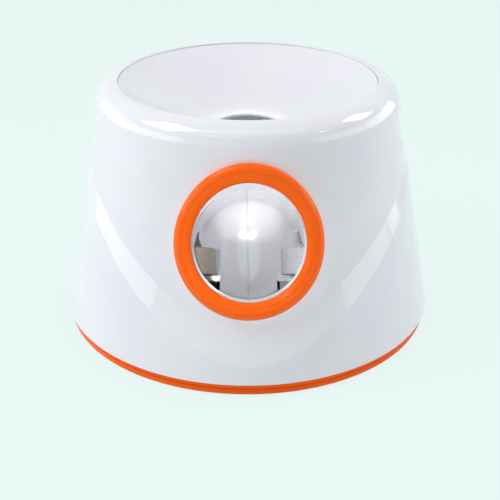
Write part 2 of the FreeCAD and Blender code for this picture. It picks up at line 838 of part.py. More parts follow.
def housing_shell():
    lip = funnel_edge_radius
    ledge_top = ledge_seat()
    ledge = annulus(lip - ledge_width, lip + ledge_thickness, ledge_top - ledge_thickness, ledge_top)
    skirt = annulus(lip, lip + ledge_thickness, ledge_top - ledge_thickness, rim_crest_height)
    collar = port_cylinder(port_radius + port_collar_wall, -collar_depth, 2 * port_radius)
    hollow = body_form(housing_wall, housing_bottom - 1.0)
    for piece in [ledge, skirt, collar] + housing_bosses():
        hollow = hollow.cut(piece)
    shell = body_form(0.0, housing_bottom).cut(hollow)
    shell = shell.cut(cylinder(lip, ledge_top, rim_crest_height + 1))
    shell = shell.cut(port_cylinder(port_radius, -2 * collar_depth, 2 * port_radius))
    for peg in ring_pegs(ring_peg_radius + screw_hole_gap, housing_wall + 1.0, 1.0):
        shell = shell.cut(peg)
    return shell.cut(panel_block(slip_gap, -1.0, housing_wall + 1.0))


def funnel_shell():
    hole_top = rz(feed_hole_radius + feed_lip_radius, feed_hole_height)
    lip_k = feed_lip_radius * (1 - math.sqrt(0.5))
    lip_mid = rz(feed_hole_radius + lip_k, feed_hole_height - lip_k)
    lip_low = rz(feed_hole_radius, feed_hole_height - feed_lip_radius)
    throat = rz(feed_hole_radius, feed_hole_height - funnel_wall)
    under_r = feed_hole_radius + feed_lip_radius
    under_start = rz(under_r, funnel_under(under_r))
    outer = funnel_edge_radius - slip_gap
    skirt_in = outer - funnel_wall
    under_mid = rz(funnel_sag_radius, funnel_under(funnel_sag_radius))
    under_end = rz(skirt_in, funnel_under(skirt_in))
    edge = rz(outer, funnel_bowl_height(outer))
    foot = funnel_edge_height - funnel_skirt_depth
    profile = [arc(edge, rz(funnel_sag_radius, funnel_bowl_height(funnel_sag_radius)), hole_top),
               arc(hole_top, lip_mid, lip_low), line(lip_low, throat), line(throat, under_start),
               arc(under_start, under_mid, under_end), line(under_end, rz(skirt_in, foot)),
               line(rz(skirt_in, foot), rz(outer, foot)), line(rz(outer, foot), edge)]
    shell = lathe(profile)
    inner = chute_radius + chute_wall + slip_gap
    collar = annulus(inner, inner + funnel_wall, chute_top - collar_length,
                     funnel_under(inner + funnel_wall) + funnel_wall / 2)
    return shell.fuse(collar)


def ledge_seat():
    return funnel_edge_height - funnel_skirt_depth


def wall_depth(x, y):
    """Local z in the port's frame at which a line along its axis meets the bucket's side."""
    slope = math.tan(bucket_lean)
    out = port_frame.Rotation.multVec(Z_AXIS)
    start = port_frame.multVec(V(x, y, 0))
    radius = side_radius(bucket_lean, start.z)
    # (start + t out) lies on the cone: a t^2 + 2 b t + c = 0
    a = out.y ** 2 - (slope * out.z) ** 2
    b = start.y * out.y + radius * slope * out.z
    c = start.x ** 2 + start.y ** 2 - radius ** 2
    return (-b + math.sqrt(b ** 2 - a * c)) / a


def ring_section(angle):
    """The ring's section in the half plane at an angle round the port's axis, its foot sunk in the wall."""
    across = V(math.cos(angle), math.sin(angle), 0)

    def point(share, rise):
        radius = port_radius + share * ring_width
        foot = wall_depth(across.x * radius, across.y * radius)
        return port_frame.multVec(across * radius + V(0, 0, foot + rise))

    def on_section(place):
        return point(place[0], place[1] * ring_height)

    foot_in, foot_out = point(0.0, -ring_sink), point(1.0, -ring_sink)
    start, end = on_section((0.0, ring_side)), on_section((1.0, ring_side))
    edges = [line(foot_in, start)]
    for middle, stop in (ring_inner_roll, ring_valley, ring_crown):
        edges.append(arc(start, on_section(middle), on_section(stop)))
        start = on_section(stop)
    step = on_section(ring_step)
    edges += [line(start, step), arc(step, on_section(ring_lip_middle), end),
              line(end, foot_out), line(foot_out, foot_in)]
    return Part.Wire(edges)


def port_ring():
    """A ring of two rolls and a lip that follows the bucket's side, with pegs on its back."""
    sections = [ring_section(2 * math.pi * i / ring_sections) for i in range(ring_sections)]
    body = Part.makeLoft(sections, True, False, True)
    body = body.cut(body_form(0.0, housing_bottom - 1))
    return body.multiFuse(ring_pegs(ring_peg_radius, ring_peg_length, ring_height / 2))


# ---------------------------------------------------------------- base

base_top = base_plate_bottom + base_plate_thickness
screw_seat = base_plate_bottom + screw_head_height + screw_head_inset


def base_ring():
    """Two rounded bands with a groove between them, a spigot into the housing and a flange on the base plate."""
    r = ring_band_radius
    top = housing_bottom - ring_joint_gap
    low = ring_bottom
    mid = (top + low) / 2
    g = ring_groove / 2
    valley = r - ring_bead - ring_groove_depth
    flange_top = base_top + ring_flange_thickness
    spigot_top = housing_bottom + ring_spigot_height
    inner = ring_spigot_radius - ring_spigot_wall
    plate_edge = base_plate_radius + slip_gap
    profile = [arc(rz(r - ring_bead, low), rz(r, (low + mid - g) / 2), rz(r - ring_bead, mid - g)),
               line(rz(r - ring_bead, mid - g), rz(valley, mid)),
               line(rz(valley, mid), rz(r - ring_bead, mid + g)),
               arc(rz(r - ring_bead, mid + g), rz(r, (mid + g + top) / 2), rz(r - ring_bead, top)),
               line(rz(r - ring_bead, top), rz(ring_spigot_radius, top)),
               line(rz(ring_spigot_radius, top), rz(ring_spigot_radius, spigot_top)),
               line(rz(ring_spigot_radius, spigot_top), rz(inner, spigot_top)),
               line(rz(inner, spigot_top), rz(inner, flange_top)),
               line(rz(inner, flange_top), rz(ring_flange_inner_radius, flange_top)),
               line(rz(ring_flange_inner_radius, flange_top), rz(ring_flange_inner_radius, base_top)),
               line(rz(ring_flange_inner_radius, base_top), rz(plate_edge, base_top)),
               line(rz(plate_edge, base_top), rz(plate_edge, low)),
               line(rz(plate_edge, low), rz(r - ring_bead, low))]
    ring = lathe(profile)
    for x, y, angle in around(housing_screw_count, housing_screw_circle):
        ring = ring.fuse(cylinder(ring_pad_radius, flange_top - 1, housing_bottom, x, y))
        ring = ring.cut(cylinder(screw_radius + screw_hole_gap, 0, FAR, x, y))
    return ring


row_pitch = 2 * cell_radius + 2 * cell_clearance
tray_inner_width = cells_in_row * (cell_length + cell_tip_length) + contact_space
tray_inner_length = cell_rows * row_pitch
tray_front_inner = tray_front + tray_wall
tray_rear_inner = tray_front_inner + tray_inner_length
door_top = base_plate_bottom + door_thickness
cell_bottom = door_top + cell_clearance
cell_height = cell_bottom + cell_radius
tray_ceiling = cell_height + cell_radius + cell_clearance
tray_top = tray_ceiling + tray_wall

hinge_y = tray_front_inner + hinge_set_back
hinge_z = base_plate_bottom + door_thickness / 2
door_screw_y = tray_rear_inner + door_screw_set_back
door_screw_seat = base_plate_bottom + door_screw_head


def door_outline(grow):
    """Plan of the battery door, or of its hole in the base plate."""
    half = tray_inner_width / 2
    wide = tongue_half_width + grow
    low, high = -1.0, base_top
    panel = box(-half - grow, half + grow, hinge_y - grow, tray_rear_inner + grow, low, high)
    tongue = box(-wide, wide, hinge_y, tray_rear_inner + tongue_length + grow, low, high)
    return panel.fuse(tongue)


def barrel(radius, length):
    """A cylinder round the battery door's hinge axis."""
    return Part.makeCylinder(radius, length, V(-length / 2, hinge_y, hinge_z), X_AXIS)


def foot_places():
    """On the foot circle, in two rows that pass the battery door."""
    across = math.sqrt(foot_circle ** 2 - foot_row ** 2)
    return [(side * across, y) for side in SIDES.values() for y in (-foot_row, foot_row)]


def counterbore(x, y):
    head_room = cylinder(screw_head_radius + counterbore_gap, base_plate_bottom - 1, screw_seat, x, y)
    return head_room.fuse(cylinder(screw_radius + screw_hole_gap, 0, base_top + base_post_height + 1, x, y))


def leg_places():
    return [(side * leg_x, y) for side in SIDES.values() for y in (leg_front_y, leg_rear_y)]


def base_plate():
    """Round plate with posts for the chute's legs, the battery door's opening and seats for feet and screws."""
    plate = cylinder(base_plate_radius, base_plate_bottom, base_top)
    posts = [cylinder(leg_size / 2, base_plate_bottom, base_top + base_post_height, x, y) for x, y in leg_places()]
    boss = box(-tongue_half_width, tongue_half_width, tray_rear_inner + tray_wall + slip_gap,
               tray_rear_inner + tongue_length + tongue_lap, base_plate_bottom, base_top + door_boss_height)
    plate = plate.multiFuse(posts + [boss])
    plate = plate.cut(door_outline(slip_gap))
    half = tray_inner_width / 2 + slip_gap
    plate = plate.cut(barrel(door_thickness / 2 + slip_gap, 2 * half))
    plate = plate.cut(box(-half, half, hinge_y - door_thickness / 2 - slip_gap, hinge_y, 0, hinge_z))
    plate = plate.cut(barrel(hinge_pin_radius + running_gap, tray_inner_width + 2 * hinge_pin_length + 2 * slip_gap))
    plate = plate.cut(cylinder(screw_radius + door_screw_play, 0, FAR, 0, door_screw_y))
    for x, y in foot_places():
        plate = plate.cut(cylinder(foot_radius, 0, foot_height, x, y))
    for x, y, angle in around(housing_screw_count, housing_screw_circle):
        plate = plate.cut(counterbore(x, y))
    for x, y in leg_places() + tray_screw_places():
        plate = plate.cut(counterbore(x, y))
    return plate


def tray_screw_places():
    half = tray_inner_width / 2 + tray_wall + tray_ear_radius
    mid = (tray_front_inner + tray_rear_inner) / 2
    return [(sx * half, mid + sy * tray_screw_spacing / 2) for sx in (-1, 1) for sy in (-1, 1)]


def rubber_feet():
    feet = []
    for x, y in foot_places():
        foot = cylinder(foot_radius - foot_gap, 0, foot_height, x, y)
        on_floor = [e for e in foot.Edges if e.BoundBox.ZMax < foot_edge_radius]
        feet.append(foot.makeFillet(foot_edge_radius, on_floor))
    return feet


def screws_from_below(places, length):
    screws = []
    for x, y in places:
        one = screw(length, screw_seat)
        one.translate(V(x, y, 0))
        screws.append(one)
    return screws


def tray_screws():
    return screws_from_below(tray_screw_places(), base_top - screw_seat + tray_ear_height - tray_screw_cover)


def housing_screws():
    places = [(x, y) for x, y, angle in around(housing_screw_count, housing_screw_circle)]
    return screws_from_below(places, housing_bottom - screw_seat + screw_length - screw_tip_room)


# ---------------------------------------------------------------- batteries

def battery_tray():
    """A box open to the battery door, with ears for its screws and bosses for the control board."""
    half = tray_inner_width / 2
    tray = box(-half - tray_wall, half + tray_wall, tray_front_inner - tray_wall, tray_rear_inner + tray_wall,
               base_top, tray_top)
    tray = tray.cut(box(-half, half, tray_front_inner, tray_rear_inner, base_top - 1, tray_ceiling))
    rib_y = tray_front_inner + row_pitch
    pieces = [box(-half, half, rib_y - tray_rib_half, rib_y + tray_rib_half, tray_ceiling - tray_rib_drop, tray_ceiling)]
    ear_top = base_top + tray_ear_height
    for x, y in tray_screw_places():
        ear = cylinder(tray_ear_radius, base_top, ear_top, x, y)
        bridge = box(half + tray_wall / 2, abs(x), y - tray_ear_radius, y + tray_ear_radius, base_top, ear_top)
        pieces += [ear, bridge if x > 0 else mirrored(bridge)]
    for x, y in board_hole_places():
        pieces.append(cylinder(board_boss_radius, tray_top - tray_wall / 2, board_z, x, y))
    tray = tray.multiFuse(pieces)
    for x, y in tray_screw_places():
        tray = tray.cut(cylinder(screw_radius, base_top - 1, ear_top - tray_screw_cover / 2, x, y))
    for x, y in board_hole_places():
        tray = tray.cut(cylinder(board_screw_radius, board_z - board_screw_depth - slip_gap, board_z + 1, x, y))
    return tray


def battery_cells():
    cells = []
    for row in range(cell_rows):
        y = tray_front_inner + row_pitch * (row + 0.5)
        way = 1 if row % 2 == 0 else -1
        start = -way * cells_in_row * (cell_length + cell_tip_length) / 2
        for i in range(cells_in_row):
            x = start + way * i * (cell_length + cell_tip_length)
            along = V(way, 0, 0)
            can = Part.makeCylinder(cell_radius, cell_length, V(x, y, cell_height), along)
            rims = [e for e in can.Edges if abs(e.Length - 2 * math.pi * cell_radius) < 0.01]
            can = can.makeFillet(cell_edge_radius, rims)
            tip = Part.makeCylinder(cell_tip_radius, cell_tip_length, V(x + way * cell_length, y, cell_height), along)
            cells.append(can.fuse(tip))
    return cells


def battery_contacts():
    """Flat plates at the plus ends and conical springs at the minus ends."""
    half = tray_inner_width / 2
    plates = []
    springs = []
    run = cells_in_row * (cell_length + cell_tip_length) / 2
    for row in range(cell_rows):
        y = tray_front_inner + row_pitch * (row + 0.5)
        way = 1 if row % 2 == 0 else -1
        for end in (-1, 1):
            wall_x = end * half
            inner_x = wall_x - end * contact_thickness
            low, high = min(wall_x, inner_x), max(wall_x, inner_x)
            plates.append(box(low, high, y - contact_size / 2, y + contact_size / 2,
                              cell_height - contact_size / 2, cell_height + contact_size / 2))
            face = end * run
            if end == way:
                button = Part.makeCylinder(contact_button_radius, abs(inner_x - face),
                                           V(min(inner_x, face), y, cell_height), X_AXIS)
                plates[-1] = plates[-1].fuse(button)
            else:
                springs.append(conical_spring(inner_x, face, y))
    return plates, springs


def conical_spring(wall_x, cell_x, y):
    """Wire rings that narrow towards the cell, joined by risers."""
    wire = spring_wire_radius
    way = 1 if cell_x > wall_x else -1
    step = way * (abs(cell_x - wall_x) - 2 * wire) / (spring_turns - 1)
    rings = []
    for i in range(spring_turns):
        x = wall_x + way * wire + i * step
        radius = spring_radius - spring_taper * i
        rings.append(Part.makeTorus(radius, wire, V(x, y, cell_height), X_AXIS))
        if i:
            start = V(x - step, y + radius + spring_taper, cell_height)
            riser = V(x, y + radius, cell_height) - start
            rings.append(Part.makeCylinder(wire, riser.Length, start, riser))
    return fuse(rings)


def battery_door():
    """A flat cover whose front edge is a barrel round the hinge, with a pin at each end."""
    door = door_outline(0.0).common(box(-FAR, FAR, -FAR, FAR, base_plate_bottom, door_top))
    door = door.fuse(barrel(door_thickness / 2, tray_inner_width))
    door = door.fuse(barrel(hinge_pin_radius, tray_inner_width + 2 * hinge_pin_length))
    door = door.cut(cylinder(screw_radius + screw_hole_gap, 0, FAR, 0, door_screw_y))
    return door.cut(cylinder(screw_head_radius + screw_hole_gap, 0, door_screw_seat, 0, door_screw_y))


def battery_door_screw():
    """A captive screw; its head is level with the door and has one slot."""
    body = cylinder(screw_radius, door_screw_seat, base_top + door_screw_engagement, 0, door_screw_y)
    head = cylinder(screw_head_radius, base_plate_bottom, door_screw_seat, 0, door_screw_y)
    half = screw_recess_width / 2
    slot = box(-screw_head_radius, screw_head_radius, door_screw_y - half, door_screw_y + half,
               0, base_plate_bottom + screw_recess_depth)
    return body.fuse(head).cut(slot)


# ---------------------------------------------------------------- electronics

board_centre_y = (tray_front_inner + tray_rear_inner) / 2
board_z = tray_top + board_standoff


def board_hole_places():
    x = board_width / 2 - board_hole_inset
    y = board_length / 2 - board_hole_inset
    return [(sx * x, board_centre_y + sy * y) for sx in (-1, 1) for sy in (-1, 1)]


def on_board(x, y, wide, deep, tall):
    """A block standing on the control board, centred at (x, y) from the board's centre."""
    top = board_z + board_thickness
    y += board_centre_y
    return box(x - wide / 2, x + wide / 2, y - deep / 2, y + deep / 2, top, top + tall)


def control_board():
    board = box(-board_width / 2, board_width / 2, board_centre_y - board_length / 2,
                board_centre_y + board_length / 2, board_z, board_z + board_thickness)
    for x, y in board_hole_places():
        board = board.cut(cylinder(board_screw_radius + screw_hole_gap, 0, FAR, x, y))
    return board


def board_parts():
    """Driver chips, smoothing capacitors, heat sinks and plug-in connectors."""
    top = board_z + board_thickness
    parts = [on_board(chip_x, 0.0, *chip_size), on_board(small_chip_x, 0.0, *small_chip_size)]
    for x in capacitor_x:
        parts.append(cylinder(capacitor_radius, top, top + capacitor_height, x, board_centre_y + capacitor_y))
    for x in connector_x:
        parts.append(on_board(x, connector_y, *connector_size))
    fin_pitch = sink_size[0] / (sink_slots + 0.5)
    for x in sink_x:
        sink = on_board(x, sink_y, *sink_size)
        for i in range(sink_slots):
            slot_x = x + (i - (sink_slots - 1) / 2) * fin_pitch
            gap = on_board(slot_x, sink_y - sink_size[1] / 3, fin_pitch / 2, sink_size[1], sink_size[2])
            sink = sink.cut(gap.translated(V(0, 0, sink_floor)))
        parts.append(sink)
    return parts


def board_screws():
    screws = []
    top = board_z + board_thickness
    for x, y in board_hole_places():
        shank = cylinder(board_screw_radius, board_z - board_screw_depth, top, x, y)
        head = cylinder(board_screw_head_radius, top, top + board_screw_head_height, x, y)
        screws.append(shank.fuse(head))
    return screws


def beeper():
    top = board_z + board_thickness
    y = board_centre_y - beeper_set_back
    can = cylinder(beeper_radius, top, top + beeper_height, beeper_x, y)
    return can.cut(cylinder(beeper_hole_radius, top + beeper_height / 2, FAR, beeper_x, y))


# ---------------------------------------------------------------- rear panel

def panel_hole(radius, x, z):
    return placed(cylinder(radius, -panel_reach, panel_reach), panel_frame(x, z))


def switch_board_frame():
    return panel_frame(0, (button_row_height + lamp_height) / 2)


def switch_posts():
    """Posts on the panel's flange that carry the switch board, in the board's frame."""
    half = switch_post_width / 2
    for x in (switch_board_left + half, switch_board_right - half):
        yield x, box(x - half, x + half, -switch_board_half_height, switch_board_half_height,
                     -switch_board_depth, 0)


def control_panel():
    plate = panel_block(0.0, panel_inset, housing_wall)
    flange = panel_block(panel_flange, housing_wall, housing_wall + panel_flange_thickness)
    panel = plate.fuse(flange)
    inside = cone_form(bucket_lean, housing_wall, housing_bottom)
    for x, post in switch_posts():
        panel = panel.fuse(placed(post, switch_board_frame()).common(inside))
    for x in (power_button_x, distance_button_x):
        flange_room = button_radius + button_flange_width + slip_gap
        panel = panel.cut(panel_hole(button_radius + slip_gap, x, button_row_height))
        panel = panel.cut(placed(cylinder(flange_room, -panel_reach, -seat_depth), panel_frame(x, button_row_height)))
    half = socket_body_half + slip_gap
    panel = panel.cut(panel_hole(socket_ring_radius + screw_hole_gap, socket_x, button_row_height))
    panel = panel.cut(placed(box(-half, half, -half, half, -panel_reach, -seat_depth),
                             panel_frame(socket_x, button_row_height)))
    for x in lamp_places():
        panel = panel.cut(panel_hole(lamp_radius + running_gap, x, lamp_height))
    for centre in switch_board_screw_places():
        hole = cylinder(screw_radius, -panel_reach, -switch_board_depth + switch_screw_length, *centre)
        panel = panel.cut(placed(hole, switch_board_frame()))
    return panel


def switch_board_screw_places():
    """In the board's frame: one screw in the middle of each post."""
    return [(x, 0.0) for x, post in switch_posts()]


def push_button(x):
    """Domed cap with a captive flange behind the panel and a stem for its switch."""
    frame = panel_frame(x, button_row_height)
    switch_top = frame.inverse().multVec(switch_board_frame().multVec(
        V(0, 0, -switch_board_depth + switch_height))).z
    flange_z = -(seat_depth + slip_gap)
    r = button_radius
    side_top = button_proud - button_dome
    dome_radius = (r ** 2 + button_dome ** 2) / (2 * button_dome)
    half_turn = math.asin(r / dome_radius) / 2
    on_dome = rz(dome_radius * math.sin(half_turn), button_proud - dome_radius * (1 - math.cos(half_turn)))
    profile = [line(rz(0, flange_z), rz(r, flange_z)), line(rz(r, flange_z), rz(r, side_top)),
               arc(rz(r, side_top), on_dome, rz(0, button_proud)),
               line(rz(0, button_proud), rz(0, flange_z))]
    cap = lathe(profile)
    flange = cylinder(r + button_flange_width, flange_z - button_flange_thickness, flange_z)
    stem = cylinder(stem_radius, switch_top + button_travel + slip_gap, flange_z - button_flange_thickness)
    return placed(fuse([cap, flange, stem]), frame)


def lamp_places():
    return [(i - (lamp_count - 1) / 2) * lamp_pitch for i in range(lamp_count)]


def status_lights():
    """Light pipes from lamps on the switch board to the panel's face."""
    lamps = []
    for x in lamp_places():
        frame = panel_frame(x, lamp_height)
        board_top = frame.inverse().multVec(switch_board_frame().multVec(V(0, 0, -switch_board_depth))).z
        lamps.append(placed(cylinder(lamp_radius, board_top, 0), frame))
    return lamps


def switch_board():
    frame = switch_board_frame()
    board = box(switch_board_left, switch_board_right, -switch_board_half_height, switch_board_half_height,
                -switch_board_depth - board_thickness, -switch_board_depth)
    for centre in switch_board_screw_places():
        board = board.cut(cylinder(screw_radius + screw_hole_gap, -panel_reach, 0, *centre))
    parts = [board]
    half = switch_size / 2
    for x in (power_button_x, distance_button_x):
        centre = frame.inverse().multVec(panel_frame(x, button_row_height).Base)
        parts.append(box(centre.x - half, centre.x + half, centre.y - half, centre.y + half,
                         -switch_board_depth, -switch_board_depth + switch_height))
    return placed(fuse(parts), frame)


def switch_board_screws():
    screws = []
    for x, y in switch_board_screw_places():
        one = screw(board_thickness + switch_screw_length - 1.0, -switch_board_depth - board_thickness)
        one.translate(V(x, y, 0))
        screws.append(placed(one, switch_board_frame()))
    return screws


def dc_socket():
    """A round socket with a centre pin, on a square body that seats behind the panel."""
    half = socket_body_half
    ring = cylinder(socket_ring_radius, -socket_length, 0)
    socket = ring.fuse(box(-half, half, -half, half, -socket_length, -seat_depth))
    socket = socket.cut(cylinder(socket_bore_radius, -socket_bore_depth, 1))
    socket = socket.fuse(cylinder(socket_pin_radius, -socket_bore_depth - 1, -socket_pin_inset))
    return placed(socket, panel_frame(socket_x, button_row_height))


# ---------------------------------------------------------------- build

def build():
    nodes = {}
    nodes["housing_shell"] = housing_shell()
    nodes["funnel"] = funnel_shell()
    nodes["port_ring"] = port_ring()
    nodes["base_ring"] = base_ring()
    nodes["base_plate"] = base_plate()
    nodes["rubber_feet"] = group(rubber_feet())
    nodes["housing_screws"] = group(housing_screws())
    chute = chute_shell()
    for name, side in SIDES.items():
        nodes["chute_" + name] = chute_half(chute, side)
        nodes["flywheel_hub_" + name] = flywheel_hub(side)
        nodes["flywheel_tyre_" + name] = flywheel_tyre(side)
        nodes["motor_can_" + name] = motor_can(side)
        nodes["motor_end_cap_" + name] = motor_end_cap(side)
        nodes["motor_rotor_" + name] = motor_rotor(side)
    nodes["ball_sensor_emitter"] = ball_sensor(SIDES["left"])
    nodes["ball_sensor_receiver"] = ball_sensor(SIDES["right"])
    nodes["motor_screws"] = group(motor_screws())
    nodes["chute_seam_screws"] = group(seam_screws())
    nodes["chute_leg_screws"] = group(leg_screws())
    nodes["battery_tray"] = battery_tray()
    nodes["tray_screws"] = group(tray_screws())
    nodes["battery_cells"] = group(battery_cells())
    plates, springs = battery_contacts()
    nodes["battery_contacts"] = group(plates)
    nodes["battery_springs"] = group(springs)
    nodes["battery_door"] = battery_door()
    nodes["battery_door_screw"] = battery_door_screw()
    nodes["control_board"] = control_board()
    nodes["board_parts"] = group(board_parts())
    nodes["board_screws"] = group(board_screws())
    nodes["beeper"] = beeper()
    nodes["control_panel"] = control_panel()
    nodes["power_button"] = push_button(power_button_x)
    nodes["distance_button"] = push_button(distance_button_x)
    nodes["status_lights"] = group(status_lights())
    nodes["switch_board"] = switch_board()
    nodes["switch_board_screws"] = group(switch_board_screws())
    nodes["dc_socket"] = dc_socket()
    return nodes


os.makedirs("parts", exist_ok=True)
for node, shape in build().items():
    shape.exportStep("parts/" + node + ".step")
    print(node, len(shape.Solids), "solids", "valid" if shape.isValid() else "INVALID")
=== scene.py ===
import json
import math

import bpy
from mathutils import Matrix, Vector


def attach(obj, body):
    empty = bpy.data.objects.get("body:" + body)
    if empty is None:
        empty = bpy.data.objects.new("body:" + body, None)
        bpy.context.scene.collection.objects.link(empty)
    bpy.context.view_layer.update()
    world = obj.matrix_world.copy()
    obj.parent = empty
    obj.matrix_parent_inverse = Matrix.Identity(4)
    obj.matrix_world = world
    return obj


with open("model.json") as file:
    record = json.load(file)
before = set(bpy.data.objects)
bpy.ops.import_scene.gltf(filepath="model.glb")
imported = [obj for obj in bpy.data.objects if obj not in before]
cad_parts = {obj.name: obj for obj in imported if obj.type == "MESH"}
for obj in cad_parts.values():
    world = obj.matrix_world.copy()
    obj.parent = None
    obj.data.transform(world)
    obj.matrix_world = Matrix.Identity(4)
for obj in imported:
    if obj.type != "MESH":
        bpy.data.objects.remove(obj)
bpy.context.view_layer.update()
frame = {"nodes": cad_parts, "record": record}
NODES = frame["nodes"]
SUBPARTS = frame["record"]["subparts"]
MM = 0.001


# ------------------------------------------------------------------ material helpers

NOISE_LOW, NOISE_HIGH = 0.35, 0.65      # most values of a noise lie between these


def linear(r, g, b):
    """A display colour, 0 to 255, as the linear colour that shows as it."""
    def one(c):
        c /= 255.0
        return c / 12.92 if c <= 0.04045 else ((c + 0.055) / 1.055) ** 2.4
    return (one(r), one(g), one(b), 1.0)


class Surface:
    """A material in the making: a Principled shader, and short calls for what feeds it.

    Scales of noises are per metre, and heights of bumps are in metres.
    """

    def __init__(self, name, **shader):
        self.material = bpy.data.materials.new(name)
        self.material.use_nodes = True
        self.tree = self.material.node_tree
        self.tree.nodes.clear()
        self.shader = self.add("ShaderNodeBsdfPrincipled")
        output = self.add("ShaderNodeOutputMaterial")
        self.tree.links.new(self.shader.outputs["BSDF"], output.inputs["Surface"])
        self.place = self.add("ShaderNodeTexCoord").outputs["Object"]
        for key, value in shader.items():
            self.shader.inputs[key.replace("_", " ")].default_value = value

    def add(self, kind, **settings):
        """A node, with its properties set and its inputs set or linked."""
        node = self.tree.nodes.new(kind)
        for key, value in settings.items():
            if hasattr(node, key):
                setattr(node, key, value)
            else:
                self.give(node.inputs[key.replace("_", " ")], value)
        return node

    def give(self, socket, value):
        """Links the socket to another one, or sets it."""
        if isinstance(value, bpy.types.NodeSocket):
            self.tree.links.new(value, socket)
        else:
            socket.default_value = value

    def stretched(self, scale, turn=(0.0, 0.0, 0.0)):
        """The object's coordinates, turned and stretched."""
        node = self.add("ShaderNodeMapping", Vector=self.place, Rotation=turn, Scale=scale)
        return node.outputs["Vector"]

    def noise(self, scale, detail=2.0, place=None):
        place = place or self.place
        node = self.add("ShaderNodeTexNoise", Vector=place, Scale=scale, Detail=detail)
        return node.outputs["Fac"]

    def spread(self, value, low, high, start=NOISE_LOW, end=NOISE_HIGH):
        """A value from start to end as one from low to high."""
        node = self.add("ShaderNodeMapRange", Value=value, From_Min=start, From_Max=end,
                        To_Min=low, To_Max=high)
        return node.outputs["Result"]

    def mix(self, factor, first, second):
        node = self.add("ShaderNodeMix", data_type="RGBA")
        for name, value in (("Factor_Float", factor), ("A_Color", first), ("B_Color", second)):
            self.give(next(s for s in node.inputs if s.identifier == name), value)
        return next(s for s in node.outputs if s.identifier == "Result_Color")

    def clouds(self, scale, detail, first, second):
        """Soft clouds of two colours."""
        return self.mix(self.spread(self.noise(scale, detail), 0.0, 1.0), first, second)

    def feed(self, socket, value):
        self.tree.links.new(value, self.shader.inputs[socket])

    def relief(self, *heights):
        """Bumps, each as (value, height), one on another."""
        normal = None
        for value, height in heights:
            bump = self.add("ShaderNodeBump", Height=value, Distance=height, Strength=1.0)
            if normal:
                self.tree.links.new(normal, bump.inputs["Normal"])
            normal = bump.outputs["Normal"]
        self.feed("Normal", normal)


# ------------------------------------------------------------------ materials

def moulded(name, first, second, rough, wave=12e-6, **shader):
    """Glossy moulding: faint clouds of colour and gloss, slow waves and a fine skin."""
    s = Surface(name, **shader)
    s.feed("Base Color", s.clouds(14.0, 3.0, first, second))
    s.feed("Roughness", s.spread(s.noise(55.0, 4.0), *rough))
    s.relief((s.noise(22.0, 1.0), wave), (s.noise(900.0, 1.0), 1.2e-6))
    return s.material


def textured(name, first, second, rough, depth, scale=1400.0):
    """Matt moulding with a spark-eroded skin."""
    s = Surface(name)
    skin = s.noise(scale, 2.0)
    s.feed("Base Color", s.clouds(30.0, 4.0, first, second))
    s.feed("Roughness", s.spread(skin, *rough))
    s.relief((skin, depth))
    return s.material


def turned_metal(name, first, second, rough, stretch, turn=(0.0, 0.0, 0.0)):
    """Metal with fine lines along one direction and a few duller patches."""
    s = Surface(name, Metallic=1.0)
    lines = s.noise(1.0, 3.0, s.stretched(stretch, turn))
    s.feed("Base Color", s.clouds(140.0, 4.0, first, second))
    s.feed("Roughness", s.spread(lines, *rough))
    s.relief((lines, 2e-6))
    return s.material


def tyre(name, first, second, rough):
    """Satin roller rubber with a faint bloom and a fine skin."""
    s = Surface(name, Coat_Weight=0.15, Coat_Roughness=0.25)
    bloom = s.spread(s.noise(160.0, 4.0), 0.0, 1.0, start=0.3, end=0.7)
    s.feed("Base Color", s.mix(bloom, first, second))
    s.feed("Roughness", s.spread(s.noise(420.0, 3.0), *rough))
    s.relief((s.noise(500.0, 2.0), 8e-6))
    return s.material


def circuit_board():
    """Green solder mask over tracks that run both ways."""
    s = Surface("circuit_board", Coat_Weight=0.4, Coat_Roughness=0.15)
    cells = s.add("ShaderNodeTexVoronoi", Vector=s.place, Scale=170.0,
                  distance="CHEBYCHEV", feature="F1")
    track = s.spread(cells.outputs["Distance"], 0.0, 1.0, start=0.42, end=0.46)
    green = s.clouds(60.0, 3.0, linear(24, 92, 52), linear(20, 80, 46))
    s.feed("Base Color", s.mix(track, green, linear(52, 128, 74)))
    s.feed("Roughness", s.spread(s.noise(300.0, 3.0), 0.25, 0.4))
    s.relief((track, 15e-6))
    return s.material


def cell_wrap():
    """Shrink wrap: a dark grey sleeve with faint wrinkles across the cell."""
    s = Surface("cell_wrap", Coat_Weight=0.5, Coat_Roughness=0.1)
    s.feed("Base Color", s.clouds(40.0, 3.0, linear(62, 66, 72), linear(54, 57, 63)))
    s.feed("Roughness", s.spread(s.noise(200.0, 3.0), 0.22, 0.38))
    s.relief((s.noise(1.0, 2.0, s.stretched((300.0, 40.0, 300.0))), 12e-6))
    return s.material


MOTOR_LEAN = math.radians(-30.0)

